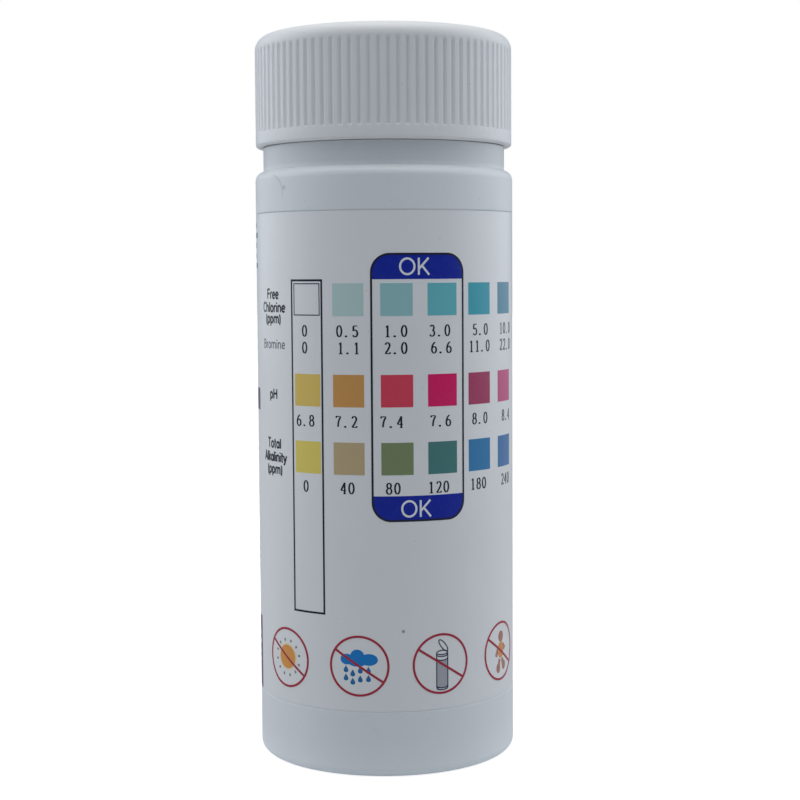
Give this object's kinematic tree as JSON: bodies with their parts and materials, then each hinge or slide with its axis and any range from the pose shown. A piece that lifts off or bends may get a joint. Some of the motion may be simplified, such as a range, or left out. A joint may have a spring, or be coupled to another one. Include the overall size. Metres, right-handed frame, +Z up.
{
  "type": "water test strip bottle",
  "caption": "Round plastic bottle with a ribbed screw cap and a colour-chart label, holding reagent strips and a desiccant for testing pool and spa water.",
  "frame": {"origin": "centre of the ring that the bottle stands on, on the table", "axes": "+Z up along the bottle's axis, -Y out of the front of the label where the colour chart is, +X to the right of someone who reads the chart"},
  "size_m": [0.042, 0.042, 0.117],
  "materials": {
    "bottle_plastic": "white polyethylene, satin",
    "label_film": "white printed film, semi-gloss",
    "cap_plastic": "white polypropylene, satin",
    "liner_foam": "closed-cell polyethylene foam",
    "canister_plastic": "natural polyethylene, satin",
    "canister_lid_plastic": "blue polyethylene, satin",
    "silica_gel": "orange indicating silica gel",
    "strip_film": "opaque white polyester",
    "chlorine_paper": "reagent blotting paper, off-white",
    "ph_paper": "reagent blotting paper, orange",
    "alkalinity_paper": "reagent blotting paper, yellow"
  },
  "bodies": {
    "bottle": {"bottle": "bottle_plastic", "label": "label_film"},
    "cap_liner": {"cap_liner": "liner_foam"},
    "cap": {"cap": "cap_plastic"},
    "test_strips": {"strip_01": "strip_film", "strip_02": "strip_film", "strip_03": "strip_film", "strip_04": "strip_film", "strip_05": "strip_film", "strip_06": "strip_film", "strip_07": "strip_film", "strip_08": "strip_film", "strip_09": "strip_film", "strip_10": "strip_film", "strip_11": "strip_film", "strip_12": "strip_film", "strip_13": "strip_film", "strip_14": "strip_film", "strip_15": "strip_film", "strip_16": "strip_film", "strip_17": "strip_film", "strip_18": "strip_film", "strip_19": "strip_film", "strip_20": "strip_film", "strip_21": "strip_film", "strip_22": "strip_film", "strip_23": "strip_film", "strip_24": "strip_film", "strip_25": "strip_film", "strip_26": "strip_film", "strip_27": "strip_film", "strip_28": "strip_film", "strip_29": "strip_film", "strip_30": "strip_film", "strip_31": "strip_film", "strip_32": "strip_film", "strip_33": "strip_film", "strip_34": "strip_film", "strip_35": "strip_film", "strip_36": "strip_film", "strip_37": "strip_film", "strip_38": "strip_film", "strip_39": "strip_film", "strip_40": "strip_film", "strip_41": "strip_film", "strip_42": "strip_film", "strip_43": "strip_film", "strip_44": "strip_film", "strip_45": "strip_film", "strip_46": "strip_film", "strip_47": "strip_film", "strip_48": "strip_film", "strip_49": "strip_film", "strip_50": "strip_film", "chlorine_pads": "chlorine_paper", "ph_pads": "ph_paper", "alkalinity_pads": "alkalinity_paper"},
    "desiccant": {"desiccant_canister": "canister_plastic", "desiccant_lid": "canister_lid_plastic", "desiccant_beads": "silica_gel"}
  },
  "joints": [
    {"name": "cap_rise", "type": "slide", "parent": "bottle", "child": "cap_liner", "axis": [0, 0, 1], "range_m": [0, 0.021]},
    {"name": "cap_turn", "type": "hinge", "parent": "cap_liner", "child": "cap", "pos_m": [0, 0, 0.1], "axis": [0, 0, 1], "range_deg": [0, 1800]},
    {"name": "strips_slide", "type": "slide", "parent": "bottle", "child": "test_strips", "axis": [0, 0, 1], "range_m": [0, 0.029]},
    {"name": "desiccant_slide", "type": "slide", "parent": "bottle", "child": "desiccant", "axis": [0, 0, 1], "range_m": [0, 0.097]}
  ],
  "couplings": [
    {"joint": "cap_rise", "follows": "cap_turn", "m_per_rad": 0.00066845}
  ]
}
